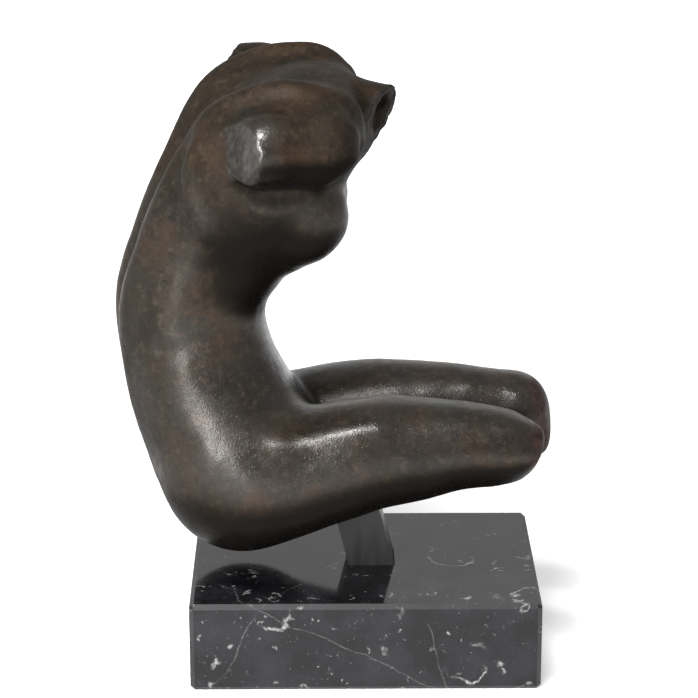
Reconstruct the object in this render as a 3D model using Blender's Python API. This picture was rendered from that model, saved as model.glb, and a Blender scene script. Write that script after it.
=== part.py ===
"""Bronze torso of a seated, bent figure, held over a marble plinth by one leaning bar.

Blender 4.5 script, in metres, +Z up. The origin is the centre of the plinth's underside.
+X is the way the thighs point, +Y is the figure's left.
"""
import math

import bpy
import numpy as np
from mathutils import Matrix

# Driving dimensions, in metres
PLINTH_LENGTH = 0.140
PLINTH_DEPTH = 0.100
PLINTH_HEIGHT = 0.037
PLINTH_CHAMFER = 0.0018

BAR_WIDTH = 0.018
BAR_THICKNESS = 0.018
BAR_LENGTH = 0.058
BAR_LEAN = math.radians(14)
BAR_FOOT_X = 0.0029
SOCKET_DEPTH = 0.008
FIT = 0.0003

FIGURE_HEIGHT = 0.1965
SEAT_LIFT = 0.0134

# The figure is shaped in parts of its own height, about 196 of them from the underside
# of the seat to the top of the far shoulder, and meshed on a grid of 2.8 parts.
GRID = 2.8
FIGURE_TRIANGLES = 9000
SHARP = math.radians(50)

# Two corners of a space that holds the whole figure, in its parts
FIGURE_REACH = ((-108, -70, 2), (87, 72, 212))

# Centre of the hollow over the lap, x and z, which the trunk curls round
LAP = (20.0, 100.0)

# The trunk in sections fanned round the lap: angle in degrees from straight back,
# then its back, its front and its half width
TRUNK = np.array([
    (-75, 84.0, 62.0, 34.0),
    (-60, 98.0, 60.0, 41.0),
    (-48, 113.0, 57.0, 46.5),
    (-36, 121.8, 56.0, 46.5),
    (-24, 119.0, 56.0, 42.4),
    (-10, 117.2, 57.8, 35.6),
    (5, 117.2, 59.6, 31.0),
    (18, 114.8, 55.0, 32.0),
    (32, 114.6, 54.6, 36.5),
    (45, 116.5, 56.5, 38.0),
    (58, 115.5, 56.5, 36.0),
    (66, 111.0, 64.0, 32.0),
    (74, 105.0, 69.5, 28.0),
    (84, 98.0, 76.0, 22.0),
])
TRUNK_ENDS = (-62, 76)
TRUNK_SQUARENESS = 2.2
TWIST = 8.0

# Each thigh in upright sections along x: x, centre y and z, half height, half width
NEAR_THIGH = np.array([
    (-45, -24.0, 40.0, 25.0, 25.0),
    (-25, -24.0, 43.0, 25.0, 25.0),
    (-9, -24.0, 46.7, 24.2, 24.0),
    (7, -23.0, 50.0, 22.3, 22.5),
    (23, -22.5, 51.0, 20.0, 20.5),
    (39, -22.0, 52.2, 17.1, 18.0),
    (55, -22.0, 51.2, 15.2, 16.0),
    (68, -22.0, 48.8, 13.6, 15.0),
])
FAR_THIGH = np.array([
    (-45, 24.0, 40.0, 24.0, 25.0),
    (-25, 24.0, 44.0, 24.1, 25.0),
    (-9, 24.0, 47.5, 23.6, 24.0),
    (7, 23.0, 50.5, 22.0, 22.5),
    (23, 22.5, 51.8, 20.4, 20.5),
    (39, 22.0, 52.2, 18.8, 18.5),
    (55, 21.5, 51.0, 18.0, 17.0),
    (68, 21.0, 49.8, 18.0, 17.0),
    (80, 21.0, 45.6, 17.5, 16.0),
])

# Where each thigh ends, and how far its broken end leans away from upright
NEAR_KNEE = (68.2, 0.42)
FAR_KNEE = (77.4, -0.04)

# The crest of each shoulder, from the neck over its top and down beside the spine, and its radii
NEAR_CREST = [
    (-7, -24, 186.5), (-13, -25.6, 190.6), (-20.5, -26.6, 194.1), (-28, -27, 196), (-36, -27, 195.5),
    (-43.3, -26, 193.2), (-49.5, -24, 189.3), (-55.4, -21.2, 184.6), (-61.5, -18.4, 178.4),
    (-67.9, -15.6, 170), (-73.1, -14, 160.3), (-78, -12, 149), (-81.5, -11, 138),
]
FAR_CREST = [
    (-10, 24.5, 192.6), (-14.9, 26.2, 197.6), (-21.5, 27.5, 199.6), (-31, 27.5, 199.5), (-39.3, 27.5, 198.2),
    (-46.1, 27, 195.6), (-51.1, 26.5, 192.7), (-56, 23.6, 189.5), (-63.3, 19.8, 184.4),
    (-69.4, 16, 176), (-73.9, 13, 163.8), (-79, 12, 151.5), (-82.5, 11, 138),
]
CREST_RADII = [2.5, 3.6, 4.2, 4.6, 4.6, 4.6, 4.4, 4, 3.5, 3.1, 2.9, 2.1, 1.5]

# Each shoulder: its side, its crest, how far it is lifted, and its arm's broken end as
# the middle of the break and the way it faces
NEAR_SHOULDER = (-1, NEAR_CREST, 0.0, (-46.5, -48.5, 178), (-0.86, -0.5, 0))
FAR_SHOULDER = (1, FAR_CREST, 4.0, (-51.5, 46, 188.6), (-0.93, 0.35, 0.05))

# Paths given for either side of the body: x, distance from the middle, z, how much of the
# shoulder's lift they take, and radius
BLADE = np.array([
    (-44, 37, 186, 1, 2),
    (-51, 34, 183, 1, 2.5),
    (-59, 31, 178, 1, 2.5),
    (-65, 29.5, 172, 1, 2.5),
    (-67, 29, 164, 0.5, 2.5),
    (-65, 30, 154, 0, 2.5),
    (-61, 30, 144, 0, 1.5),
])
COLLAR = np.array([
    (-8, 21, 190, 1, 2),
    (-7, 23, 185, 1, 2.5),
    (-9, 25, 179, 0.5, 2.5),
    (-12, 26, 173, 0.5, 3),
    (-16, 27, 167, 0, 3.5),
    (-21, 29, 161, 0, 4),
])
FOLD = np.array([
    (-9, 37, 171, 1, 1),
    (-15, 40.5, 163, 0.5, 4),
    (-26, 42.5, 160, 0, 6),
    (-38, 43, 159.5, 0, 4),
])
CREASE = np.array([
    (-72, 46, 78, 0, 1),
    (-62, 46, 72, 0, 2),
    (-52, 44, 68, 0, 2.6),
    (-43, 39.5, 67, 0, 2.8),
    (-36, 32, 68, 0, 2),
    (-31, 23, 70, 0, 1),
])
NECK_HOLLOW = np.array([
    (-16, 13, 203, 0, 2),
    (-10, 15, 202, 0, 3.5),
    (-5, 15.5, 200, 0, 3.5),
    (0, 16, 197, 0, 2),
])

# How far round a ridge its distance is worked out, and the distance given beyond that
NEAR_REACH = 14.0
FAR_OFF = 50.0


def turn(pitch):
    """Rotation about y; a positive pitch in degrees tips the top forwards."""
    c = math.cos(math.radians(pitch))
    s = math.sin(math.radians(pitch))
    return np.array([[c, 0, s], [0, 1, 0], [-s, 0, c]])


def curve(x, xs, ys):
    """Smooth curve through the stations (xs, ys), level beyond its ends."""
    xs = np.asarray(xs, float)
    ys = np.asarray(ys, float)
    slope = np.gradient(ys, xs)
    x = np.clip(x, xs[0], xs[-1])
    i = np.clip(np.searchsorted(xs, x) - 1, 0, len(xs) - 2)
    h = xs[i + 1] - xs[i]
    t = (x - xs[i])/h
    rise = ys[i + 1] - ys[i]
    bend = 3*t**2 - 2*t**3
    start = t**3 - 2*t**2 + t
    end = t**3 - t**2
    return ys[i] + bend*rise + h*(start*slope[i] + end*slope[i + 1])


def join(a, b, blend):
    """Union of two distances with a fillet as wide as the blend."""
    h = np.maximum(blend - np.abs(a - b), 0)/blend
    return np.minimum(a, b) - h**3*blend/6


def cut(a, b, blend):
    """The first distance with the second taken away, its edge rounded."""
    return -join(-a, b, blend)


def ellipsoid(p, centre, radii, pitch=0.0):
    q = (p - np.asarray(centre, float)) @ turn(pitch)
    r = np.asarray(radii, float)
    near = np.sqrt(((q/r)**2).sum(-1))
    steep = np.sqrt(((q/r**2)**2).sum(-1))
    return near*(near - 1)/np.maximum(steep, 1e-9)


def oval(u, v, a, b, squareness=2.0):
    """Distance to an oval of half sizes a and b; squareness over 2 fills its corners."""
    n = squareness
    s = np.abs(u/a)**n + np.abs(v/b)**n
    near = np.maximum(s, 1e-9)**(1/n)
    slope = np.sqrt((np.abs(u/a)**(n - 1)/a)**2 + (np.abs(v/b)**(n - 1)/b)**2)
    return (near - 1)/np.maximum(near**(1 - n)*slope, 1e-3)


def limb(p, a, b, ra, rb):
    """Round limb from a to b whose radius runs from ra to rb."""
    a = np.asarray(a, float)
    d = np.asarray(b, float) - a
    q = p - a
    t = np.clip((q @ d)/(d @ d), 0, 1)
    r = q - t[..., None]*d
    return np.sqrt((r**2).sum(-1)) - (ra + (rb - ra)*t)


def ridge(p, points, radii, pieces=4):
    """Rounded ridge along one smooth curve through the points, worked out only near it."""
    points = np.asarray(points, float)
    along = np.arange(len(points))
    fine = np.linspace(0, len(points) - 1, (len(points) - 1)*pieces + 1)
    path = np.stack([curve(fine, along, points[:, i]) for i in range(3)], 1)
    radius = curve(fine, along, radii)
    reach = radius.max() + NEAR_REACH
    close = np.all((p > path.min(0) - reach) & (p < path.max(0) + reach), -1)
    d = np.full(p.shape[:-1], FAR_OFF)
    if close.any():
        q = p[close]
        d[close] = np.minimum.reduce([
            limb(q, *ends) for ends in zip(path[:-1], path[1:], radius[:-1], radius[1:])
        ])
    return d


def mirrored(p, rows, side, lift=0.0):
    """Ridge along a path given for either side, on one side and lifted with its shoulder."""
    x, away, z, share, radius = rows.T
    return ridge(p, np.stack([x, side*away, z + share*lift], 1), radius)


def trunk(p):
    """Back, belly and ribs, swept round the lap, with the furrow of the spine."""
    aft = LAP[0] - p[..., 0]
    up = p[..., 2] - LAP[1]
    reach = np.hypot(aft, up)
    angle = np.degrees(np.arctan2(up, aft))
    back, front, wide = (curve(angle, TRUNK[:, 0], TRUNK[:, i]) for i in (1, 2, 3))
    deep = (back - front)/2
    u = reach - (back + front)/2
    v = p[..., 1]
    twist = np.radians(curve(angle, (-40, 0, 30, 60), (0, TWIST, TWIST, 3)))
    u, v = u*np.cos(twist) - v*np.sin(twist), u*np.sin(twist) + v*np.cos(twist)
    d = oval(u, v, deep, wide, TRUNK_SQUARENESS)
    behind = np.clip(u/deep, 0, 1)
    furrow = curve(angle, (-52, -30, 0, 30, 50, 80), (0, 1.5, 2.4, 3.0, 3.5, 2.5))
    furrow_width = curve(angle, (-30, 20, 60), (4, 4.5, 11))
    muscle = curve(angle, (-40, -10, 40, 60), (0.6, 1.6, 1.6, 0))
    muscle_place = curve(angle, (-20, 10, 30, 45), (10, 11, 15, 20))
    d = d + behind*furrow*np.exp(-(v/furrow_width)**2)
    d = d - behind*muscle*np.exp(-((np.abs(v) - muscle_place)/6.5)**2)
    low, high = TRUNK_ENDS
    d = cut(d, -np.radians(angle - high)*reach, 16)
    return cut(d, -np.radians(low - angle)*reach, 22)


def thigh(p, sections, knee):
    """Thigh through its sections, ended by a rounded knee."""
    end, slant = knee
    yc, zc, high, wide = (curve(p[..., 0], sections[:, 0], sections[:, i]) for i in (1, 2, 3, 4))
    d = oval(p[..., 2] - zc, p[..., 1] - yc, high, wide)
    d = cut(d, -(p[..., 0] - end + slant*(45 - p[..., 2])), 22)
    return cut(d, 50 + p[..., 0], 16)


def flat_stump(p, limb_distance, centre, facing, edge=3.0):
    """A limb broken off square at the plane through centre that faces that way."""
    n = np.asarray(facing, float)
    n = n/np.linalg.norm(n)
    return cut(limb_distance, -((p - np.asarray(centre, float)) @ n), edge)


def shoulder(p, side, crest, lift, stump, facing):
    """Crest from neck to back, its mass, the cap, the blade and the arm; side is -1 or 1."""
    girdle = ridge(p, crest, CREST_RADII)
    mass = limb(p, (-19, side*26, 180 + lift), (-50, side*23, 177 + lift), 14.5, 14.5)
    cap = ellipsoid(p, (-22, side*36.5, 176.5 + lift), (18, 14, 14.5), -6)
    slope = ellipsoid(p, (-28, side*34, 180.5 + lift), (21, 12, 12.5))
    slope = join(slope, ellipsoid(p, (-50, side*27, 167), (15, 13, 19), -10), 6)
    side_mass = ellipsoid(p, (-44, side*23, 157), (22, 16, 24), -20)
    root = np.array([-17, side*36, 178 + 1.5*lift])
    stump = np.asarray(stump, float)
    knob = stump + 0.3*(root - stump)
    arm = join(limb(p, root, stump, 13.6, 12.2), ellipsoid(p, knob, (14, 13.6, 13.6)), 4)
    arm = flat_stump(p, arm, stump, facing, 5)
    blade = mirrored(p, BLADE, side, lift)
    return girdle, join(mass, join(slope, side_mass, 8), 8), cap, arm, blade


def neck(p):
    """Thick neck broken off in front, with a ragged lip below and a hollow in its side."""
    stem = limb(p, (-24, 0, 184), (7.4, -1, 182.2), 16.4, 11.3)
    lip = ellipsoid(p, (2.6, -4.5, 171.6), (4.4, 6, 3.6), 15)
    stem = join(stem, lip, 3)
    stem = flat_stump(p, stem, (6.3, -1, 182), (0.87, -0.42, -0.33), 1.5)
    socket = ellipsoid(p, (7.8, -3.5, 181.5), (5.5, 8, 10), 20)
    hollow = mirrored(p, NECK_HOLLOW, -1)
    return cut(cut(stem, socket, 1.5), hollow, 5)


def figure(p):
    """Distance to the bronze's surface, negative inside."""
    d = trunk(p)
    for side in (-1, 1):
        d = join(d, ellipsoid(p, (-49.5, side*21, 38.8), (29.6, 25.5, 29.5), -25), 12)
    d = join(d, thigh(p, NEAR_THIGH, NEAR_KNEE), 7)
    d = join(d, thigh(p, FAR_THIGH, FAR_KNEE), 5)
    d = join(d, neck(p), 8)
    for shape in NEAR_SHOULDER, FAR_SHOULDER:
        side, crest, lift = shape[:3]
        girdle, mass, cap, arm, blade = shoulder(p, *shape)
        d = join(d, mass, 10)
        d = join(d, cap, 8)
        d = join(d, girdle, 13)
        d = join(d, arm, 7)
        d = join(d, blade, 9)
        d = join(d, mirrored(p, COLLAR, side, lift), 5)
    for side in (-1, 1):
        d = join(d, ellipsoid(p, (-23, side*18, 144.2), (16, 15, 17.5), 25), 8)
        d = join(d, ellipsoid(p, (-30, side*21, 149), (19, 12.5, 16), 10), 10)
        d = join(d, ellipsoid(p, (-34, side*12, 134), (14.5, 14, 13)), 8)
    for side, _, lift, *_ in (NEAR_SHOULDER, FAR_SHOULDER):
        d = cut(d, mirrored(p, FOLD, side, lift), 6)
    return cut(d, mirrored(p, CREASE, -1), 8)


def skin(distance, low, high, step):
    """Closed mesh of the zero surface: one point a cell, one quad a crossed edge."""
    low = np.asarray(low, float)
    n = np.ceil((np.asarray(high) - low)/step).astype(int) + 1
    grid = np.stack(np.meshgrid(*(low[i] + step*np.arange(n[i]) for i in range(3)), indexing="ij"), -1)
    value = distance(grid.reshape(-1, 3)).reshape(n)
    inside = value < 0
    corners = [np.array(c) for c in np.ndindex(2, 2, 2)]
    filled = sum(inside[tuple(slice(c[i], n[i] - 1 + c[i]) for i in range(3))].astype(int) for c in corners)
    crossed = (filled > 0) & (filled < 8)
    cells = np.argwhere(crossed)
    number = np.full(tuple(n - 1), -1)
    number[crossed] = np.arange(len(cells))
    total = np.zeros((len(cells), 3))
    count = np.zeros(len(cells))
    for axis in range(3):
        ahead = np.eye(3, dtype=int)[axis]
        for start in (c for c in corners if c[axis] == 0):
            first = value[tuple((cells + start).T)]
            second = value[tuple((cells + start + ahead).T)]
            cross = (first < 0) != (second < 0)
            t = np.where(cross, first/np.where(cross, first - second, 1), 0)
            total[cross] += (cells + start + ahead*t[:, None])[cross]
            count[cross] += 1
    points = low + step*total/count[:, None]
    quads = []
    for axis in range(3):
        ahead, side, rise = (np.eye(3, dtype=int)[(axis + k) % 3] for k in range(3))
        here = inside[tuple(slice(0, n[i] - ahead[i]) for i in range(3))]
        there = inside[tuple(slice(ahead[i], n[i]) for i in range(3))]
        edges = np.argwhere(here != there)
        leaving = here[tuple(edges.T)]
        ring = [number[tuple((edges - offset).T)] for offset in (side + rise, rise, 0*rise, side)]
        quad = np.stack(ring, -1)
        quad[~leaving] = quad[~leaving][:, ::-1]
        quads.append(quad)
    return points, np.concatenate(quads)


def settle(distance, points, rounds=3, step=0.05):
    """Move each point onto the surface along the slope of the distance."""
    for _ in range(rounds):
        slope = np.stack([distance(points + step*e) - distance(points - step*e) for e in np.eye(3)], -1)
        slope = slope/(2*step)
        steep = np.maximum((slope**2).sum(-1), 0.05)
        points = points - np.clip(distance(points)/steep, -1, 1)[:, None]*slope
    return points


def material(name, colour, roughness, metallic):
    made = bpy.data.materials.new(name)
    made.use_nodes = True
    shader = made.node_tree.nodes["Principled BSDF"]
    shader.inputs["Base Color"].default_value = (*colour, 1)
    shader.inputs["Roughness"].default_value = roughness
    shader.inputs["Metallic"].default_value = metallic
    return made


def add_object(name, points, faces, finish=None):
    mesh = bpy.data.meshes.new(name)
    mesh.from_pydata([tuple(q) for q in points], [], [tuple(f) for f in faces])
    mesh.update()
    made = bpy.data.objects.new(name, mesh)
    bpy.context.scene.collection.objects.link(made)
    if finish:
        mesh.materials.append(finish)
    return made


def box(name, low, high, finish=None):
    """Box between two corners, faces outwards."""
    points = [(x, y, z) for x in (low[0], high[0]) for y in (low[1], high[1]) for z in (low[2], high[2])]
    faces = [(0, 1, 3, 2), (4, 6, 7, 5), (0, 4, 5, 1), (2, 3, 7, 6), (0, 2, 6, 4), (1, 5, 7, 3)]
    return add_object(name, points, faces, finish)


def carve(target, cutter):
    """Take the cutter out of the target and keep it as a hidden guide."""
    cutter.hide_render = True
    cutter.display_type = "WIRE"
    boolean = target.modifiers.new(cutter.name, "BOOLEAN")
    boolean.operation = "DIFFERENCE"
    boolean.solver = "EXACT"
    boolean.object = cutter


def lean(made):
    """Stand an object built about the bar's own foot onto the plinth, leaning back."""
    foot = Matrix.Translation((BAR_FOOT_X, 0, PLINTH_HEIGHT))
    made.matrix_world = foot @ Matrix.Rotation(-BAR_LEAN, 4, "Y")
    return made


def bar_box(name, spare, bottom, top, finish=None):
    """The bar, or a socket for it that is wider by spare on every side."""
    half_width = BAR_WIDTH/2 + spare
    half_thickness = BAR_THICKNESS/2 + spare
    low = (-half_width, -half_thickness, bottom)
    high = (half_width, half_thickness, top)
    return lean(box(name, low, high, finish))


def make_plinth():
    stone = material("black_marble", (0.045, 0.045, 0.048), 0.15, 0.0)
    half_length = PLINTH_LENGTH/2
    half_depth = PLINTH_DEPTH/2
    low = (-half_length, -half_depth, 0)
    high = (half_length, half_depth, PLINTH_HEIGHT)
    plinth = box("marble_plinth", low, high, stone)
    chamfer = plinth.modifiers.new("chamfer", "BEVEL")
    chamfer.width = PLINTH_CHAMFER
    chamfer.segments = 1
    chamfer.limit_method = "ANGLE"
    carve(plinth, bar_box("bar_socket", FIT, -SOCKET_DEPTH - FIT, PLINTH_HEIGHT))


def make_bar():
    steel = material("blackened_steel", (0.03, 0.03, 0.032), 0.4, 0.8)
    bar_box("support_bar", 0, -SOCKET_DEPTH, BAR_LENGTH - SOCKET_DEPTH, steel)


def make_figure():
    bronze = material("patinated_bronze", (0.11, 0.07, 0.045), 0.32, 0.9)
    points, quads = skin(figure, *FIGURE_REACH, GRID)
    points = settle(figure, points)
    lowest, highest = points[:, 2].min(), points[:, 2].max()
    part = FIGURE_HEIGHT/(highest - lowest)
    points = (points - (0, 0, lowest))*part + (0, 0, PLINTH_HEIGHT + SEAT_LIFT)
    torso = add_object("bronze_torso", points, quads, bronze)
    torso.data.shade_smooth()
    torso.data.set_sharp_from_angle(angle=SHARP)
    thin = torso.modifiers.new("fewer_faces", "DECIMATE")
    thin.ratio = FIGURE_TRIANGLES/(2*len(quads))
    carve(torso, bar_box("figure_socket", FIT, 0, BAR_LENGTH - SOCKET_DEPTH + FIT))


def clear_scene():
    for old in list(bpy.data.objects):
        bpy.data.objects.remove(old, do_unlink=True)


clear_scene()
make_plinth()
make_bar()
make_figure()
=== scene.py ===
"""Looks of the bronze torso: its fine surface, patina, the veined marble and the studio.

Blender 4.5 script, in metres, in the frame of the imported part.
"""

import math

import bpy
import numpy as np
from mathutils import Matrix, Vector


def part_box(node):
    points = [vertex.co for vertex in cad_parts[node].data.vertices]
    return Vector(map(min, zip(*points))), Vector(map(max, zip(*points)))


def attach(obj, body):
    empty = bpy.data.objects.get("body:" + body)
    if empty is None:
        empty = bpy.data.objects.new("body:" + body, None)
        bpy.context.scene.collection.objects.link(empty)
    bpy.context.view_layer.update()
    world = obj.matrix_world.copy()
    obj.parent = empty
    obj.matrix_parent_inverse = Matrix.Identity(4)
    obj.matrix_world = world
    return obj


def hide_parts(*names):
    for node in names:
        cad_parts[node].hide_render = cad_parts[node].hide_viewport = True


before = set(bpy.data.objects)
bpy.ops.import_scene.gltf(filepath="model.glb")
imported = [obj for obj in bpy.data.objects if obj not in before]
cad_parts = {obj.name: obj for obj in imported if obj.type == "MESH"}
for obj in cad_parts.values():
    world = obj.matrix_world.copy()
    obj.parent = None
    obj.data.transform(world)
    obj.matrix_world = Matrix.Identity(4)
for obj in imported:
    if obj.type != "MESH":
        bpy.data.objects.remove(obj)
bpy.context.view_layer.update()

# Camera, worked out from the plinth's edges in the photograph
CAMERA_PLACE = (-0.0164, -1.0110, 0.4596)
CAMERA_PITCH = math.radians(18.2)
CAMERA_YAW = math.radians(0.58)
IMAGE_PIXELS = 698
FOCAL_PIXELS = 2647
SENSOR_MM = 36.0

# The figure is sculpted in parts of about 1 mm each, and scaled to its solid's box at the end.
# This is the grid in parts that its skin is meshed on
GRID = 1.16

# Two corners of a space that holds the whole figure, in its parts
FIGURE_REACH = ((-106, -68, 4), (84, 72, 210))

# The distance is first worked out in blocks of this many cells a side. Only the blocks that lie
# within this many block widths of the surface are then worked out cell by cell, in batches
BLOCK = 4
BLOCK_REACH = 1.6
BATCH = 300000

# Where the distance rises less steeply than this, squared, it is taken to rise this much
LEAST_STEEP = 0.05

# How far out the surface is felt for hollows, where the patina stays darker and shade is painted in
# as well
HOLLOW_REACH = (4.0, 12.0)

# A face counts as turned under by degrees, while its normal's height falls from this to minus this
UNDER_TURN = 0.35

# Unevenness of the worked skin and of the broken ends: how high, how wide, and the seed
WORKED = ((0.16, 15, 1), (0.09, 7, 2), (0.05, 3.1, 3))
CHIPPED = ((0.55, 3.6, 4), (0.4, 1.9, 5))

# Above this height the bronze is matt and brown, with the change spread over the second length
POLISH_TOP = 174.0
POLISH_FADE = 24.0

# How far handling has polished the body below that, and the share of it on the back. The share
# grows to 1 from the first place along x over the length after it
POLISH_MOST = 0.6
POLISH_BACK = 0.55
POLISH_FORWARD = (-80.0, 35.0)

# Dull ends of the thighs: where they begin along x, over what length, and facing how far forwards
CUT_START = 62.0
CUT_FADE = 6.0
CUT_FACING = 0.3

# Small forms laid over the body: how high, how wide, and the line that each runs along
RELIEF = (
    (2.4, 10, ((-60, -50, 60), (-48, -51, 61), (-36, -50, 62))),
    (1.6, 7, ((-30, -45, 63), (-14, -43, 65), (4, -40, 67))),
    (0.9, 4, ((-62, -38, 152), (-66, -38, 143), (-68, -38, 134))),
    (1.0, 4.5, ((-74, -34, 122), (-74, -36, 110), (-74, -37, 101))),
    (-1.2, 3.5, ((-80, -32, 95), (-70, -38, 96), (-60, -41, 97))),
    (1.0, 5, ((-71, -39, 90), (-63, -44, 80))),
    (-0.9, 4.5, ((-21, -40, 192), (-20, -46, 186), (-22, -50, 180))),
    (1.2, 5, ((-34, -46, 189), (-28, -48, 186))),
    (0.8, 6, ((44, 12, 65), (56, 11, 63), (68, 9, 57))),
    (0.9, 5, ((8, -14, 71), (34, -13, 70), (58, -14, 65))),
    (-0.9, 4, ((-72, 38, 152), (-60, 46, 140), (-44, 47, 132))),
    (0.9, 5, ((-30, -38, 128), (-42, -42, 126), (-54, -43, 130))),
    (-0.8, 4, ((-30, -34, 121), (-44, -38, 119), (-58, -40, 122))),
)

# Spots rubbed bright by handling: how much, how wide, and the line that each runs along
RUBBED = (
    (1.0, 6, ((-74, -35, 118), (-73, -38, 101))),
    (1.0, 6, ((-71, -40, 89), (-63, -44, 80))),
    (0.8, 10, ((-58, -50, 66), (-40, -50, 66), (-10, -44, 66), (4, -40, 68))),
    (1.0, 7, ((48, 13, 65), (60, 12, 62), (71, 10, 56), (72, 8, 46))),
    (1.0, 9, ((-42, -54, 184), (-40, -54, 170))),
    (0.7, 9, ((-64, -38, 152), (-66, -38, 134))),
)

# Centre of the hollow over the lap, x and z, which the trunk curls round
LAP = (20.0, 100.0)

# The trunk in sections fanned round the lap: angle in degrees from straight back,
# then its back, its front and its half width
TRUNK = np.array([
    (-75, 84.0, 62.0, 34.0),
    (-60, 98.0, 60.0, 41.0),
    (-48, 113.0, 57.0, 46.5),
    (-36, 121.8, 56.0, 46.5),
    (-24, 119.0, 56.0, 42.4),
    (-10, 117.2, 57.8, 35.6),
    (5, 117.2, 59.6, 31.0),
    (18, 114.8, 55.0, 32.0),
    (32, 114.6, 54.6, 36.5),
    (45, 116.5, 56.5, 38.0),
    (58, 115.5, 56.5, 36.0),
    (66, 111.0, 64.0, 32.0),
    (74, 105.0, 69.5, 28.0),
    (84, 98.0, 76.0, 22.0),
])

# The angles at which the trunk is rounded off, how square its sections are, and how many degrees
# its middle is turned to the side
TRUNK_ENDS = (-62, 76)
TRUNK_SQUARENESS = 2.2
TWIST = 8.0

# Each thigh in upright sections along x: x, centre y and z, half height, half width
NEAR_THIGH = np.array([
    (-45, -24.0, 40.0, 25.0, 25.0),
    (-25, -24.0, 43.0, 25.0, 25.0),
    (-9, -24.0, 46.7, 24.2, 24.0),
    (7, -23.0, 50.0, 22.3, 22.5),
    (23, -22.5, 51.0, 20.0, 20.5),
    (39, -22.0, 52.2, 17.1, 18.0),
    (55, -22.0, 51.2, 15.2, 16.0),
    (68, -22.0, 48.8, 13.6, 15.0),
])
FAR_THIGH = np.array([
    (-45, 24.0, 40.0, 24.0, 25.0),
    (-25, 24.0, 44.0, 24.1, 25.0),
    (-9, 24.0, 47.5, 23.6, 24.0),
    (7, 23.0, 50.5, 22.0, 22.5),
    (23, 22.5, 51.8, 20.4, 20.5),
    (39, 22.0, 52.2, 18.8, 18.5),
    (55, 21.5, 51.0, 18.0, 17.0),
    (68, 21.0, 49.8, 18.0, 17.0),
    (80, 21.0, 45.6, 17.5, 16.0),
])

# Where each thigh ends along x, and how far its end leans away from upright
NEAR_KNEE = (68.2, 0.42)
FAR_KNEE = (77.4, -0.04)

# The crest of each shoulder, from the neck over its top and down beside the spine, and its radii
NEAR_CREST = [
    (-7, -24, 186.5), (-13, -25.6, 190.6), (-20.5, -26.6, 194.1), (-28, -27, 196), (-36, -27, 195.5),
    (-43.3, -26, 193.2), (-49.5, -24, 189.3), (-55.4, -21.2, 184.6), (-61.5, -18.4, 178.4),
    (-67.9, -15.6, 170), (-73.1, -14, 160.3), (-78, -12, 149), (-81.5, -11, 138),
]
FAR_CREST = [
    (-10, 24.5, 192.6), (-14.9, 26.2, 197.6), (-21.5, 27.5, 199.6), (-31, 27.5, 199.5),
    (-39.3, 27.5, 198.2), (-46.1, 27, 195.6), (-51.1, 26.5, 192.7), (-56, 23.6, 189.5),
    (-63.3, 19.8, 184.4), (-69.4, 16, 176), (-73.9, 13, 163.8), (-79, 12, 151.5), (-82.5, 11, 138),
]
CREST_RADII = [2.5, 3.6, 4.2, 4.6, 4.6, 4.6, 4.4, 4, 3.5, 3.1, 2.9, 2.1, 1.5]

# Each shoulder: its side, its crest, how far it is lifted, and its arm's broken end as
# the middle of the break and the way it faces
NEAR_SHOULDER = (-1, NEAR_CREST, 0.0, (-46.5, -48.5, 178), (-0.86, -0.5, 0))
FAR_SHOULDER = (1, FAR_CREST, 4.0, (-51.5, 46, 188.6), (-0.93, 0.35, 0.05))

# The neck's broken end in the same way
NECK_BREAK = ((6.3, -1, 182), (0.87, -0.42, -0.33))

# All three broken ends, each with how far from its middle it is rough, and how deep that goes
BREAKS = ((*NEAR_SHOULDER[3:], 14), (*FAR_SHOULDER[3:], 14), (*NECK_BREAK, 16))
BREAK_DEPTH = 1.6

# Paths given for either side of the body: x, distance from the middle, z, how much of the
# shoulder's lift they take, and radius
BLADE = np.array([
    (-44, 37, 186, 1, 2),
    (-51, 34, 183, 1, 2.5),
    (-59, 31, 178, 1, 2.5),
    (-65, 29.5, 172, 1, 2.5),
    (-67, 29, 164, 0.5, 2.5),
    (-65, 30, 154, 0, 2.5),
    (-61, 30, 144, 0, 1.5),
])
COLLAR = np.array([
    (-8, 21, 190, 1, 2),
    (-7, 23, 185, 1, 2.5),
    (-9, 25, 179, 0.5, 2.5),
    (-12, 26, 173, 0.5, 3),
    (-16, 27, 167, 0, 3.5),
    (-21, 29, 161, 0, 4),
])
FOLD = np.array([
    (-9, 37, 171, 1, 1),
    (-15, 40.5, 163, 0.5, 4),
    (-26, 42.5, 160, 0, 6),
    (-38, 43, 159.5, 0, 4),
])
NECK_HOLLOW = np.array([
    (-16, 13, 203, 0, 2),
    (-10, 15, 202, 0, 3.5),
    (-5, 15.5, 200, 0, 3.5),
    (0, 16, 197, 0, 2),
])

# How far round a ridge its distance is worked out, and the distance given beyond that
NEAR_REACH = 14.0
FAR_OFF = 50.0

# The bronze's screen colours, each as it is left alone and as it is polished
BROWN = ((36, 30, 24), (31, 28, 25))
WARM_BROWN = ((46, 35, 26), (40, 32, 25))

# Patches and specks laid over the brown one after the other: the noise's scale, detail, roughness
# and shift, the levels where a patch starts and is full, how strong it is then, and its colour
PATCHES = (
    (45, 4, 0.6, (0, 0.3, 0), 0.5, 0.75, 1.0, (31, 32, 28)),
    (38, 3, 0.55, (0, 0, 0), 0.5, 0.25, 1.0, (24, 20, 16)),
    (260, 4, 0.65, (0, 0, 0), 0.5, 0.68, 0.55, (54, 46, 37)),
    (330, 4, 0.65, (0.1, 0.2, 0), 0.5, 0.66, 0.5, (20, 18, 16)),
    (900, 2, 0.5, (0, 0, 0), 0.62, 0.75, 0.3, (24, 20, 17)),
)
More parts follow.
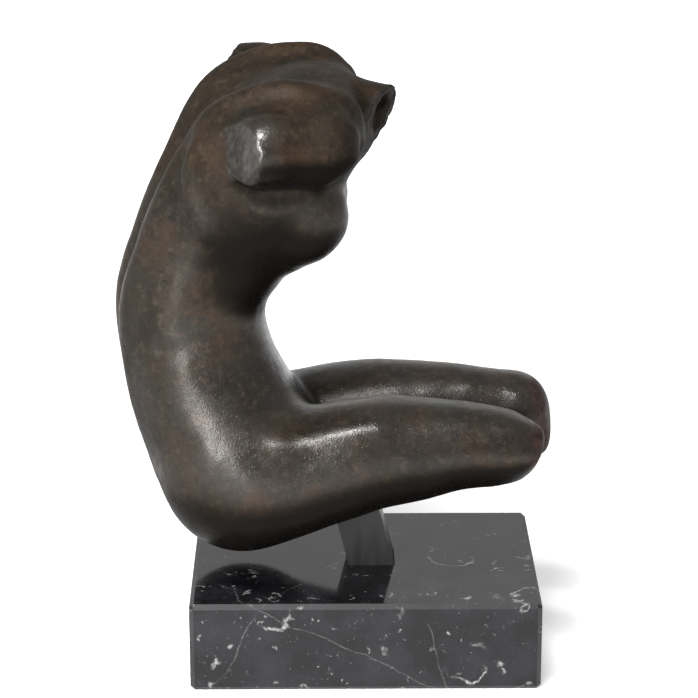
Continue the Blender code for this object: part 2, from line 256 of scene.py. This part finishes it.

# Painted shade in the hollows and undersides, partly patina in the hollows, and the mottled broken
# ends and ends of the thighs
PATINA_AND_PAINTED_SHADE = (14, 12, 10)
BROKEN_END = ((36, 34, 32), (52, 50, 47))
CUT_END = ((38, 28, 25), (58, 44, 41))

# How one quality of the bronze follows from another: two levels of the first, and what the
# second is at each of them
# Painted shade: the next two darken the colour towards the hollows, partly as patina, and wherever
# the surface faces down
PATINA_AND_PAINTED_SHADE_IN_HOLLOWS = (0.05, 0.6, 0.0, 0.8)
PAINTED_SHADE_UNDER = (0.45, 1.0, 0.0, 1.0)
SHINE_BY_DARKENING = (0.0, 0.75, 1.0, 0.3)
SHINE_BY_POLISH = (0.0, 1.0, 0.05, 0.55)
SHINE_UNDER = (0.0, 0.9, 1.0, 0.25)
SHINE_OF_CUT_END = (0.0, 1.0, 1.0, 0.1)
ROUGH_BROAD = (0.3, 0.75, 0.25, 0.34)
ROUGH_FINE = (0.4, 0.7, -0.03, 0.06)
ROUGH_BY_POLISH = (0.0, 1.0, 0.28, -0.12)
ROUGH_END = 0.55
WAX_BY_POLISH = (0.2, 1.0, 0.02, 0.22)
WAX_UNDER = (0.1, 0.7, 1.0, 0.0)

# The marble's black ground, which is mottled, and its white marks
GROUND = ((12, 12, 14), (27, 27, 30))
WHITE_MARK = (150, 150, 149)

# Hairline veins, each in a plane through the block: the way it faces and how far from the origin
# it lies. Then how wide and how strong they all are
VEIN_PLANES = (
    ((0.42, 0.3, 0.86), 0.004),
    ((-0.75, 0.5, 0.43), 0.022),
    ((0.93, -0.2, 0.3), 0.045),
)
VEIN_WIDTH = 0.0004
VEIN_STRENGTH = 0.22

# Rings of shells cut across: cells a metre, the ring's radius and width in cells, the share of
# cells without one, and how strong it is
RINGS = (
    (40, 0.36, 0.035, 0.75, 0.8),
    (110, 0.3, 0.07, 0.7, 0.5),
)

# Crumbs of shell: cells a metre, the crumb's size in cells, the share of cells without one, and
# how strong it is
CRUMBS = (
    (150, 0.3, 0.86, 0.75),
    (300, 0.3, 0.86, 0.6),
    (600, 0.32, 0.84, 0.3),
)

# The steel's screen colours, between which its streaks run
STEEL = ((34, 34, 34), (58, 58, 57))

# Even light from all round, and the lamps: place, aim, width, height and power. The first two
# light the figure, the third is mirrored in the marble and the last one lights the floor behind
WORLD_LIGHT = 0.38
MIDDLE = (0, 0, 0.13)
LAMPS = (
    ("panel", (-0.47, -0.83, 0.5), MIDDLE, 0.12, 0.8, 24),
    ("key", (-0.17, -0.5, 1.17), MIDDLE, 0.36, 0.24, 14),
    ("back_wall", (0, 1.8, 0.7), (0, 0, 0.5), 2.4, 1.0, 4),
    ("backdrop", (0, 0.75, 0.9), (0, 2.2, 0), 1.4, 0.3, 12),
)

# Half the floor's width, how pale it is and how much it glows by itself
FLOOR_REACH = 40.0
FLOOR_GREY = 0.85
FLOOR_GLOW = 0.4


def turn(pitch):
    """Rotation about y; a positive pitch in degrees tips the top forwards."""
    c = math.cos(math.radians(pitch))
    s = math.sin(math.radians(pitch))
    return np.array([[c, 0, s], [0, 1, 0], [-s, 0, c]])


def curve(x, xs, ys):
    """Smooth curve through the stations (xs, ys), level beyond its ends."""
    xs = np.asarray(xs, float)
    ys = np.asarray(ys, float)
    slope = np.gradient(ys, xs)
    x = np.clip(x, xs[0], xs[-1])
    i = np.clip(np.searchsorted(xs, x) - 1, 0, len(xs) - 2)
    h = xs[i + 1] - xs[i]
    t = (x - xs[i])/h
    rise = ys[i + 1] - ys[i]
    bend = 3*t**2 - 2*t**3
    start = t**3 - 2*t**2 + t
    end = t**3 - t**2
    return ys[i] + bend*rise + h*(start*slope[i] + end*slope[i + 1])


def join(a, b, blend):
    """Union of two distances with a fillet as wide as the blend."""
    h = np.maximum(blend - np.abs(a - b), 0)/blend
    return np.minimum(a, b) - h**3*blend/6


def cut(a, b, blend):
    """The first distance with the second taken away, its edge rounded."""
    return -join(-a, b, blend)


def ellipsoid(p, centre, radii, pitch=0.0):
    q = (p - np.asarray(centre, float)) @ turn(pitch)
    r = np.asarray(radii, float)
    near = np.sqrt(((q/r)**2).sum(-1))
    steep = np.sqrt(((q/r**2)**2).sum(-1))
    return near*(near - 1)/np.maximum(steep, 1e-9)


def oval(u, v, a, b, squareness=2.0):
    """Distance to an oval of half sizes a and b; squareness over 2 fills its corners."""
    n = squareness
    s = np.abs(u/a)**n + np.abs(v/b)**n
    near = np.maximum(s, 1e-9)**(1/n)
    slope = np.sqrt((np.abs(u/a)**(n - 1)/a)**2 + (np.abs(v/b)**(n - 1)/b)**2)
    return (near - 1)/np.maximum(near**(1 - n)*slope, 1e-3)


def limb(p, a, b, ra, rb):
    """Round limb from a to b whose radius runs from ra to rb."""
    a = np.asarray(a, float)
    d = np.asarray(b, float) - a
    q = p - a
    t = np.clip((q @ d)/(d @ d), 0, 1)
    r = q - t[..., None]*d
    return np.sqrt((r**2).sum(-1)) - (ra + (rb - ra)*t)


def ridge(p, points, radii, pieces=4):
    """Rounded ridge along one smooth curve through the points, worked out only near it."""
    points = np.asarray(points, float)
    along = np.arange(len(points))
    fine = np.linspace(0, len(points) - 1, (len(points) - 1)*pieces + 1)
    path = np.stack([curve(fine, along, points[:, i]) for i in range(3)], 1)
    radius = curve(fine, along, radii)
    reach = radius.max() + NEAR_REACH
    close = np.all((p > path.min(0) - reach) & (p < path.max(0) + reach), -1)
    d = np.full(p.shape[:-1], FAR_OFF)
    if close.any():
        q = p[close]
        d[close] = np.minimum.reduce([
            limb(q, *ends) for ends in zip(path[:-1], path[1:], radius[:-1], radius[1:])
        ])
    return d


def mirrored(p, rows, side, lift=0.0):
    """Ridge along a path given for either side, on one side and lifted with its shoulder."""
    x, away, z, share, radius = rows.T
    return ridge(p, np.stack([x, side*away, z + share*lift], 1), radius)


def trunk(p):
    """Back, belly and ribs, swept round the lap, with the furrow of the spine."""
    aft = LAP[0] - p[..., 0]
    up = p[..., 2] - LAP[1]
    reach = np.hypot(aft, up)
    angle = np.degrees(np.arctan2(up, aft))
    back, front, wide = (curve(angle, TRUNK[:, 0], TRUNK[:, i]) for i in (1, 2, 3))
    deep = (back - front)/2
    u = reach - (back + front)/2
    v = p[..., 1]
    twist = np.radians(curve(angle, (-40, 0, 30, 60), (0, TWIST, TWIST, 3)))
    u, v = u*np.cos(twist) - v*np.sin(twist), u*np.sin(twist) + v*np.cos(twist)
    d = oval(u, v, deep, wide, TRUNK_SQUARENESS)
    behind = np.clip(u/deep, 0, 1)
    furrow = curve(angle, (-52, -30, 0, 30, 50, 80), (0, 1.5, 2.4, 3.0, 3.5, 2.5))
    furrow_width = curve(angle, (-30, 20, 60), (4, 4.5, 11))
    muscle = curve(angle, (-40, -10, 40, 60), (0.6, 1.6, 1.6, 0))
    muscle_place = curve(angle, (-20, 10, 30, 45), (10, 11, 15, 20))
    d = d + behind*furrow*np.exp(-(v/furrow_width)**2)
    d = d - behind*muscle*np.exp(-((np.abs(v) - muscle_place)/6.5)**2)
    low, high = TRUNK_ENDS
    d = cut(d, -np.radians(angle - high)*reach, 16)
    return cut(d, -np.radians(low - angle)*reach, 22)


def thigh(p, sections, knee):
    """Thigh through its sections, ended by a rounded knee."""
    end, slant = knee
    yc, zc, high, wide = (curve(p[..., 0], sections[:, 0], sections[:, i]) for i in (1, 2, 3, 4))
    d = oval(p[..., 2] - zc, p[..., 1] - yc, high, wide)
    d = cut(d, -(p[..., 0] - end + slant*(45 - p[..., 2])), 22)
    return cut(d, 50 + p[..., 0], 16)


def flat_stump(p, limb_distance, centre, facing, edge=3.0):
    """A limb broken off square at the plane through centre that faces that way."""
    n = np.asarray(facing, float)
    n = n/np.linalg.norm(n)
    return cut(limb_distance, -((p - np.asarray(centre, float)) @ n), edge)


def shoulder(p, side, crest, lift, stump, facing):
    """Crest from neck to back, its mass, the cap, the blade and the arm; side is -1 or 1."""
    girdle = ridge(p, crest, CREST_RADII)
    mass = limb(p, (-19, side*26, 180 + lift), (-50, side*23, 177 + lift), 14.5, 14.5)
    cap = ellipsoid(p, (-22, side*36.5, 176.5 + lift), (18, 14, 14.5), -6)
    slope = ellipsoid(p, (-28, side*34, 180.5 + lift), (21, 12, 12.5))
    slope = join(slope, ellipsoid(p, (-50, side*27, 167), (15, 13, 19), -10), 6)
    side_mass = ellipsoid(p, (-44, side*23, 157), (22, 16, 24), -20)
    root = np.array([-17, side*36, 178 + 1.5*lift])
    stump = np.asarray(stump, float)
    knob = stump + 0.3*(root - stump)
    arm = join(limb(p, root, stump, 13.6, 12.2), ellipsoid(p, knob, (14, 13.6, 13.6)), 4)
    arm = flat_stump(p, arm, stump, facing, 5)
    blade = mirrored(p, BLADE, side, lift)
    return girdle, join(mass, join(slope, side_mass, 8), 8), cap, arm, blade


def neck(p):
    """Thick neck broken off in front, with a ragged lip below and a hollow in its side."""
    stem = limb(p, (-24, 0, 184), (7.4, -1, 182.2), 16.4, 11.3)
    lip = ellipsoid(p, (1.8, -5, 170.4), (4.8, 5.6, 3.6), 15)
    stem = join(stem, lip, 3)
    stem = flat_stump(p, stem, *NECK_BREAK, 1.5)
    socket = ellipsoid(p, (7.8, -3.5, 181.5), (5.5, 8, 10), 20)
    hollow = mirrored(p, NECK_HOLLOW, -1)
    return cut(cut(stem, socket, 1.5), hollow, 5)


def figure(p):
    """Distance to the bronze's surface, negative inside."""
    d = trunk(p)

    # The seat, the thighs and the neck
    for side in (-1, 1):
        d = join(d, ellipsoid(p, (-49.5, side*21, 38.8), (29.6, 25.5, 29.5), -25), 12)
    d = join(d, thigh(p, NEAR_THIGH, NEAR_KNEE), 12)
    d = join(d, thigh(p, FAR_THIGH, FAR_KNEE), 5)
    d = join(d, neck(p), 8)

    # The shoulders with their arms, blades and collar bones
    for shape in NEAR_SHOULDER, FAR_SHOULDER:
        side, crest, lift = shape[:3]
        girdle, mass, cap, arm, blade = shoulder(p, *shape)
        d = join(d, mass, 10)
        d = join(d, cap, 8)
        d = join(d, girdle, 13)
        d = join(d, arm, 7)
        d = join(d, blade, 9)
        d = join(d, mirrored(p, COLLAR, side, lift), 5)

    # The breasts, the flesh above them and the ribs below, then the folds from the armpits
    for side in (-1, 1):
        d = join(d, ellipsoid(p, (-23, side*18, 144.2), (16, 15, 17.5), 25), 8)
        d = join(d, ellipsoid(p, (-30, side*21, 149), (19, 12.5, 16), 10), 10)
        d = join(d, ellipsoid(p, (-34, side*12, 134), (14.5, 14, 13)), 8)
    for side, _, lift, *_ in (NEAR_SHOULDER, FAR_SHOULDER):
        d = cut(d, mirrored(p, FOLD, side, lift), 6)
    return d


def sampled(distance, low, high, step):
    """The distance on a grid from low past high: block by block far off, cell by cell nearby."""
    n = np.ceil((high - low)/step).astype(int) + 1
    n = -(-n//BLOCK)*BLOCK
    value = np.empty(n, np.float32)
    blocks = np.argwhere(np.ones(n//BLOCK, bool))*BLOCK
    middle = distance(low + step*(blocks + (BLOCK - 1)/2))
    tiled = value.reshape(n[0]//BLOCK, BLOCK, n[1]//BLOCK, BLOCK, n[2]//BLOCK, BLOCK)
    tiled[:] = middle.reshape(n[0]//BLOCK, 1, n[1]//BLOCK, 1, n[2]//BLOCK, 1)
    near = blocks[np.abs(middle) < BLOCK_REACH*BLOCK*step]
    spread = np.stack(np.meshgrid(*3*[np.arange(BLOCK)], indexing="ij"), -1).reshape(-1, 3)
    cells = (near[:, None] + spread).reshape(-1, 3)
    for some in np.array_split(cells, max(1, len(cells)//BATCH)):
        value[tuple(some.T)] = distance(low + step*some)
    return value


def skin(distance, low, high, step):
    """Closed mesh of the zero surface: one point a cell, one quad a crossed edge."""
    low = np.asarray(low, float)
    value = sampled(distance, low, np.asarray(high), step)
    n = np.array(value.shape)
    inside = value < 0
    corners = [np.array(c) for c in np.ndindex(2, 2, 2)]
    shifted = (inside[tuple(slice(c[i], n[i] - 1 + c[i]) for i in range(3))] for c in corners)
    filled = sum(corner.astype(np.int8) for corner in shifted)
    crossed = (filled > 0) & (filled < 8)
    cells = np.argwhere(crossed)
    number = np.full(tuple(n - 1), -1)
    number[crossed] = np.arange(len(cells))
    total = np.zeros((len(cells), 3))
    count = np.zeros(len(cells))
    for axis in range(3):
        ahead = np.eye(3, dtype=int)[axis]
        for start in (c for c in corners if c[axis] == 0):
            first = value[tuple((cells + start).T)]
            second = value[tuple((cells + start + ahead).T)]
            cross = (first < 0) != (second < 0)
            t = np.where(cross, first/np.where(cross, first - second, 1), 0)
            total[cross] += (cells + start + ahead*t[:, None])[cross]
            count[cross] += 1
    points = low + step*total/count[:, None]
    quads = []
    for axis in range(3):
        ahead, side, rise = (np.eye(3, dtype=int)[(axis + k) % 3] for k in range(3))
        here = inside[tuple(slice(0, n[i] - ahead[i]) for i in range(3))]
        there = inside[tuple(slice(ahead[i], n[i]) for i in range(3))]
        edges = np.argwhere(here != there)
        leaving = here[tuple(edges.T)]
        ring = [number[tuple((edges - offset).T)] for offset in (side + rise, rise, 0*rise, side)]
        quad = np.stack(ring, -1)
        quad[~leaving] = quad[~leaving][:, ::-1]
        quads.append(quad)
    return points, np.concatenate(quads)


def slope_of(distance, points, step=0.05):
    """Which way, and how steeply, the distance rises at each point."""
    slope = np.stack([distance(points + step*e) - distance(points - step*e) for e in np.eye(3)], -1)
    return slope/(2*step)


def lattice_noise(p, size, seed):
    """Smooth noise between -1 and 1, whose lumps are about that size."""
    table = np.random.default_rng(seed).uniform(-1, 1, (32, 32, 32))
    q = p/size
    base = np.floor(q).astype(int)
    t = q - base
    t = t*t*(3 - 2*t)
    total = 0
    for c in np.ndindex(2, 2, 2):
        weight = np.prod(np.where(c, t, 1 - t), -1)
        total = total + weight*table[tuple(((base + c) % 32).T)]
    return total


def mesh_object(name, points, faces):
    mesh = bpy.data.meshes.new(name)
    mesh.from_pydata(points.tolist(), [], faces.tolist())
    mesh.update()
    made = bpy.data.objects.new(name, mesh)
    bpy.context.scene.collection.objects.link(made)
    mesh.shade_smooth()
    return made


def uneven(points, layers):
    """Unevenness of several sizes added up, as a height in the figure's parts."""
    return sum(high*lattice_noise(points, size, seed) for high, size, seed in layers)


def broken(points):
    """How far each point is on a broken end, 0 to 1."""
    share = np.zeros(len(points))
    for centre, facing, reach in BREAKS:
        n = np.asarray(facing, float)
        n = n/np.linalg.norm(n)
        q = points - centre
        off = np.abs(q @ n)
        out = np.linalg.norm(q, axis=1)
        share = np.maximum(share, np.clip(BREAK_DEPTH - off, 0, 1)*np.clip(reach + 1 - out, 0, 1))
    return share


def soft_line(p, path, radius):
    """How near each point is to a line through the path: 1 on it, falling off over the radius."""
    path = np.asarray(path, float)
    away = np.full(len(p), np.inf)
    for a, b in zip(path[:-1], path[1:]):
        away = np.minimum(away, limb(p, a, b, 0, 0))
    return np.exp(-(away/radius)**2)


def relief(p):
    """Small muscles, folds and bones of the surface, as a height in the figure's parts."""
    height = np.zeros(len(p))
    for lift, radius, path in RELIEF:
        height = height + lift*soft_line(p, path, radius)
    return height


def handled(points):
    """How far handling has polished each point, 0 to 1: hips, thighs, flank and arm most."""
    x, _, z = points.T
    low = np.clip((POLISH_TOP - z)/POLISH_FADE, 0, 1)
    start, length = POLISH_FORWARD
    front = POLISH_BACK + (1 - POLISH_BACK)*np.clip((x - start)/length, 0, 1)
    share = POLISH_MOST*low*front
    for much, radius, path in RUBBED:
        share = np.maximum(share, much*soft_line(points, path, radius))
    return share


def cut_ends(points, normal):
    """How far each point is on the rounded end of a thigh, 0 to 1."""
    along = np.clip((points[:, 0] - CUT_START)/CUT_FADE, 0, 1)
    return along*np.clip((normal[:, 0] - CUT_FACING)/CUT_FACING, 0, 1)


def hollows(points, normal):
    """How closed in each point is by the form around it, 0 to 1."""
    felt = [np.clip(1 - figure(points + reach*normal)/reach, 0, 1) for reach in HOLLOW_REACH]
    return sum(felt)/len(felt)


def turned_under(normal):
    """How far each point faces down, 0 to 1."""
    return np.clip(0.5 - normal[:, 2]/(2*UNDER_TURN), 0, 1)


def sculpt():
    """The smooth figure in its own parts: points on its surface, their normals and its quads."""
    points, quads = skin(figure, *FIGURE_REACH, GRID)
    slope = slope_of(figure, points)
    steep = np.maximum((slope**2).sum(-1), LEAST_STEEP)
    points = points - np.clip(figure(points)/steep, -1, 1)[:, None]*slope
    return points, slope/np.sqrt(steep)[:, None], quads


def seated(points, low_z, high_z):
    """Points in metres, so that the smooth figure's height fills its solid's box."""
    low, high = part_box("bronze_torso")
    part = (high.z - low.z)/(high_z - low_z)
    return (points - (0, 0, low_z))*part + (0, 0, low.z)


def make_torso():
    points, normal, quads = sculpt()
    rough = broken(points)
    worked = uneven(points, WORKED) + relief(points)
    chipped = uneven(points, CHIPPED)
    surface = points + normal*((1 - rough)*worked + rough*chipped)[:, None]
    surface = seated(surface, points[:, 2].min(), points[:, 2].max())
    torso = mesh_object("torso_surface", surface, quads)
    marks = {
        "broken": rough,
        "hollow": hollows(points, normal),
        "under": turned_under(normal),
        "handled": handled(points),
        "cut_end": cut_ends(points, normal),
    }
    for name, values in marks.items():
        mark = torso.data.attributes.new(name, "FLOAT", "POINT")
        mark.data.foreach_set("value", values.astype(np.float32))
    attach(torso, "root")
    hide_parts("bronze_torso")
    return torso


class Shading:
    """A material's nodes, built in order."""

    def __init__(self, name):
        self.material = bpy.data.materials.new(name)
        self.material.use_nodes = True
        self.nodes = self.material.node_tree.nodes
        self.links = self.material.node_tree.links
        self.shader = self.nodes["Principled BSDF"]
        self.place = self.add("ShaderNodeTexCoord").outputs["Object"]

    def add(self, kind, **values):
        """A new node of that kind, with those settings."""
        node = self.nodes.new(kind)
        for key, value in values.items():
            setattr(node, key, value)
        return node

    def feed(self, socket, value):
        """Link another node's output to the socket, or give it a plain value."""
        if isinstance(value, bpy.types.NodeSocket):
            self.links.new(value, socket)
        else:
            socket.default_value = value

    def noise(self, scale, detail, roughness, place=None):
        """Noise from 0 to 1, with so many lumps a metre."""
        node = self.add("ShaderNodeTexNoise")
        self.feed(node.inputs["Vector"], place or self.place)
        node.inputs["Scale"].default_value = scale
        node.inputs["Detail"].default_value = detail
        node.inputs["Roughness"].default_value = roughness
        return node.outputs["Fac"]

    def cells(self, scale, place):
        """Scattered cells, so many a metre: the distance from a cell's middle, and its own chance."""
        node = self.add("ShaderNodeTexVoronoi")
        self.feed(node.inputs["Vector"], place)
        node.inputs["Scale"].default_value = scale
        chance = self.add("ShaderNodeSeparateColor")
        self.feed(chance.inputs["Color"], node.outputs["Color"])
        return node.outputs["Distance"], chance.outputs["Red"]

    def moved(self, offset, scale=(1, 1, 1)):
        """The place, scaled and shifted."""
        node = self.add("ShaderNodeMapping")
        self.feed(node.inputs["Vector"], self.place)
        node.inputs["Location"].default_value = offset
        node.inputs["Scale"].default_value = scale
        return node.outputs["Vector"]

    def level(self, value, low, high, to_low=0.0, to_high=1.0):
        """The value's range from low to high, eased into another range."""
        node = self.add("ShaderNodeMapRange", interpolation_type="SMOOTHSTEP")
        self.feed(node.inputs["Value"], value)
        node.inputs["From Min"].default_value = low
        node.inputs["From Max"].default_value = high
        node.inputs["To Min"].default_value = to_low
        node.inputs["To Max"].default_value = to_high
        return node.outputs["Result"]

    def math(self, operation, a, b=0.0):
        node = self.add("ShaderNodeMath", operation=operation)
        self.feed(node.inputs[0], a)
        self.feed(node.inputs[1], b)
        return node.outputs[0]

    def times(self, a, b):
        return self.math("MULTIPLY", a, b)

    def mix(self, share, a, b):
        """Colour a where the share is 0, b where it is 1."""
        node = self.add("ShaderNodeMix", data_type="RGBA")
        self.feed(node.inputs["Factor"], share)
        self.feed(node.inputs["A"], a)
        self.feed(node.inputs["B"], b)
        return node.outputs["Result"]

    def mottled(self, share, colours):
        """The first screen colour where the share is 0, the second where it is 1."""
        return self.mix(share, rgb(colours[0]), rgb(colours[1]))

    def bump(self, height, distance, strength=1.0, onto=None):
        """Normals of a surface with that height, in metres, laid onto other normals."""
        node = self.add("ShaderNodeBump")
        node.inputs["Distance"].default_value = distance
        node.inputs["Strength"].default_value = strength
        self.feed(node.inputs["Height"], height)
        if onto:
            self.feed(node.inputs["Normal"], onto)
        return node.outputs["Normal"]

    def warped(self, scale, amount):
        """The place, pushed about by noise of that scale."""
        shift = self.add("ShaderNodeTexNoise")
        self.feed(shift.inputs["Vector"], self.place)
        shift.inputs["Scale"].default_value = scale
        shift.inputs["Detail"].default_value = 4
        push = self.add("ShaderNodeVectorMath", operation="SCALE")
        self.feed(push.inputs[0], shift.outputs["Color"])
        push.inputs["Scale"].default_value = amount
        pushed = self.add("ShaderNodeVectorMath", operation="ADD")
        self.feed(pushed.inputs[0], self.place)
        self.feed(pushed.inputs[1], push.outputs["Vector"])
        return pushed.outputs["Vector"]

    def upright(self):
        """How far the surface faces up, -1 to 1."""
        node = self.add("ShaderNodeSeparateXYZ")
        self.feed(node.inputs[0], self.add("ShaderNodeNewGeometry").outputs["Normal"])
        return node.outputs["Z"]

    def attribute(self, name):
        """A mark that the mesh carries at each point."""
        return self.add("ShaderNodeAttribute", attribute_name=name).outputs["Fac"]


def rgb(colour):
    """Colour given as it looks on screen, 0 to 255, as the light values that shaders use."""
    shown = [c/255 for c in colour]
    return tuple(c/12.92 if c < 0.04045 else ((c + 0.055)/1.055)**2.4 for c in shown) + (1.0,)


def bronze_material():
    m = Shading("patinated_bronze")
    polished = m.attribute("handled")
    under = m.attribute("under")
    ends = m.attribute("broken")
    dull = m.attribute("cut_end")
    hollow = m.attribute("hollow")
    # Painted shade: a mask that darkens the hollows, partly as patina, and every face turned down
    patina_and_painted_shade = m.math("MAXIMUM", m.level(hollow, *PATINA_AND_PAINTED_SHADE_IN_HOLLOWS), m.level(under, *PAINTED_SHADE_UNDER))

    # Brown patina with warmer patches, then blotches and specks, painted shade in the hollows and
    # undersides (partly patina in the hollows), and the bare ends
    warmth = m.level(m.noise(60, 4, 0.6, m.moved((0.2, 0, 0))), 0.45, 0.7)
    colour = m.mix(warmth, m.mottled(polished, BROWN), m.mottled(polished, WARM_BROWN))
    for scale, detail, roughness, shift, start, full, strength, patch in PATCHES:
        noise = m.noise(scale, detail, roughness, m.moved(shift))
        colour = m.mix(m.level(noise, start, full, 0.0, strength), colour, rgb(patch))
    # Painted shade: the colour darkened towards the hollows and the undersides
    colour = m.mix(patina_and_painted_shade, colour, rgb(PATINA_AND_PAINTED_SHADE))
    colour = m.mix(ends, colour, m.mottled(m.level(m.noise(420, 3, 0.6), 0.4, 0.7), BROKEN_END))
    colour = m.mix(dull, colour, m.mottled(m.level(m.noise(300, 3, 0.6), 0.35, 0.7), CUT_END))
    m.feed(m.shader.inputs["Base Color"], colour)
    m.shader.inputs["Metallic"].default_value = 0.25

    # Shine where hands have polished it, little where the hollows and undersides are painted dark, on
    # undersides and on the thighs' ends
    shine = m.times(m.level(patina_and_painted_shade, *SHINE_BY_DARKENING), m.level(polished, *SHINE_BY_POLISH))
    shine = m.times(shine, m.level(under, *SHINE_UNDER))
    m.feed(m.shader.inputs["Specular IOR Level"], m.times(shine, m.level(dull, *SHINE_OF_CUT_END)))
    worn = m.level(m.noise(70, 4, 0.6), *ROUGH_BROAD)
    worn = m.math("ADD", worn, m.level(m.noise(300, 3, 0.6, m.moved((0.3, 0, 0))), *ROUGH_FINE))
    worn = m.math("ADD", worn, m.level(polished, *ROUGH_BY_POLISH))
    bare = m.times(m.math("MAXIMUM", ends, dull), ROUGH_END)
    m.feed(m.shader.inputs["Roughness"], m.math("MAXIMUM", worn, bare))
    wax = m.times(m.level(polished, *WAX_BY_POLISH), m.level(under, *WAX_UNDER))
    m.feed(m.shader.inputs["Coat Weight"], wax)
    m.shader.inputs["Coat Roughness"].default_value = 0.2

    # Fine grain, pits and soft dents, from small to large
    normal = m.bump(m.noise(1500, 2, 0.6), 0.0001)
    normal = m.bump(m.level(m.noise(700, 3, 0.55), 0.3, 0.42), 0.00006, 0.6, normal)
    normal = m.bump(m.noise(160, 4, 0.6), 0.0003, 0.4, normal)
    m.feed(m.shader.inputs["Normal"], normal)
    m.feed(m.shader.inputs["Coat Normal"], normal)
    return m.material


def veins(m):
    """Straight hairline veins, broken here and there: how strong each one is at every place."""
    bent = m.warped(45, 0.008)
    found = []
    for facing, place in VEIN_PLANES:
        plane = m.add("ShaderNodeVectorMath", operation="DOT_PRODUCT")
        m.feed(plane.inputs[0], bent)
        plane.inputs[1].default_value = facing
        off = m.math("ABSOLUTE", m.math("SUBTRACT", plane.outputs["Value"], place))
        there = m.level(m.noise(34, 3, 0.6, m.moved((9*place, 0, 0))), 0.42, 0.55)
        found.append(m.times(m.level(off, 0.0, VEIN_WIDTH, VEIN_STRENGTH, 0.0), there))
    return found


def shell_rings(m):
    """Shells cut across: rings broken into arcs, in some cells only."""
    found = []
    for scale, radius, width, share, strength in RINGS:
        away, chance = m.cells(scale, m.warped(70, 0.016))
        off = m.math("ABSOLUTE", m.math("SUBTRACT", away, radius))
        chosen = m.level(chance, share, share + 0.02)
        arc = m.level(m.noise(scale*1.1, 2, 0.6, m.moved((0, 0, 0.4))), 0.5, 0.6)
        found.append(m.times(m.times(m.level(off, 0.0, width, strength, 0.0), chosen), arc))
    return found


def crumbs(m):
    """Crumbs of shell, drawn out by the warped place."""
    found = []
    for scale, size, share, strength in CRUMBS:
        away, chance = m.cells(scale, m.warped(180, 0.012))
        chosen = m.level(chance, share, share + 0.05)
        found.append(m.times(m.level(away, size*0.2, size, strength, 0.0), chosen))
    return found


def marble_material():
    m = Shading("black_marble")
    ground = m.mottled(m.level(m.noise(60, 5, 0.6), 0.35, 0.7), GROUND)
    mark, *others = veins(m) + shell_rings(m) + crumbs(m)
    for other in others:
        mark = m.math("MAXIMUM", mark, other)
    mark = m.times(mark, m.level(m.noise(700, 3, 0.7), 0.38, 0.62, 0.25, 1.0))
    m.feed(m.shader.inputs["Base Color"], m.mix(mark, ground, rgb(WHITE_MARK)))

    # The eased edges slant between upright and level, and are less polished than the faces
    slant = m.math("ABSOLUTE", m.upright())
    eased = m.times(m.level(slant, 0.3, 0.5), m.level(slant, 0.8, 0.95, 1.0, 0.0))
    polish = m.level(m.noise(120, 3, 0.6), 0.3, 0.7, 0.07, 0.11)
    rough = m.math("ADD", m.math("ADD", polish, m.times(eased, 0.4)), m.times(mark, 0.08))
    m.feed(m.shader.inputs["Roughness"], rough)
    m.shader.inputs["Specular IOR Level"].default_value = 0.27
    m.feed(m.shader.inputs["Normal"], m.bump(mark, 0.00002, 0.3))
    return m.material


def steel_material():
    m = Shading("blackened_steel")
    streak = m.noise(220, 3, 0.6, m.moved((0, 0, 0), (1, 1, 0.12)))
    m.feed(m.shader.inputs["Base Color"], m.mottled(streak, STEEL))
    m.shader.inputs["Metallic"].default_value = 0.6
    m.feed(m.shader.inputs["Roughness"], m.level(streak, 0.3, 0.7, 0.38, 0.52))
    m.feed(m.shader.inputs["Normal"], m.bump(m.noise(1800, 2, 0.5), 0.00003))
    return m.material


def floor_material():
    m = Shading("pale_floor")
    m.shader.inputs["Base Color"].default_value = (FLOOR_GREY, FLOOR_GREY, FLOOR_GREY, 1)
    m.shader.inputs["Emission Color"].default_value = (1, 1, 1, 1)
    m.shader.inputs["Emission Strength"].default_value = FLOOR_GLOW
    m.shader.inputs["Roughness"].default_value = 0.9
    m.shader.inputs["Specular IOR Level"].default_value = 0.1
    return m.material


def dress(piece, material):
    piece.data.materials.clear()
    piece.data.materials.append(material)


def area_light(name, place, target, width, height, power):
    light = bpy.data.lights.new(name, "AREA")
    light.shape = "RECTANGLE"
    light.size = width
    light.size_y = height
    light.energy = power
    made = bpy.data.objects.new(name, light)
    bpy.context.scene.collection.objects.link(made)
    made.location = place
    made.rotation_euler = (Vector(target) - Vector(place)).to_track_quat("-Z", "Y").to_euler()


def make_studio():
    world = bpy.data.worlds.new("studio")
    bpy.context.scene.world = world
    world.use_nodes = True
    background = world.node_tree.nodes["Background"]
    background.inputs["Color"].default_value = (1, 1, 1, 1)
    background.inputs["Strength"].default_value = WORLD_LIGHT
    for lamp in LAMPS:
        area_light(*lamp)
    corners = FLOOR_REACH*np.array([(-1, -1, 0), (1, -1, 0), (1, 1, 0), (-1, 1, 0)])
    floor = mesh_object("floor", corners, np.array([(0, 1, 2, 3)]))
    floor.data.materials.append(floor_material())
    bpy.context.scene.view_settings.view_transform = "Standard"


def make_camera():
    camera = bpy.data.cameras.new("camera")
    camera.sensor_width = SENSOR_MM
    camera.lens = FOCAL_PIXELS/IMAGE_PIXELS*SENSOR_MM
    camera.clip_start = 0.05
    camera.clip_end = 30
    made = bpy.data.objects.new("camera", camera)
    bpy.context.scene.collection.objects.link(made)
    turned = Matrix.Rotation(-CAMERA_YAW, 4, "Z") @ Matrix.Rotation(math.pi/2 - CAMERA_PITCH, 4, "X")
    made.matrix_world = Matrix.Translation(CAMERA_PLACE) @ turned
    bpy.context.scene.camera = made


make_camera()
torso = make_torso()
dress(torso, bronze_material())
dress(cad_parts["marble_plinth"], marble_material())
dress(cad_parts["support_bar"], steel_material())
make_studio()
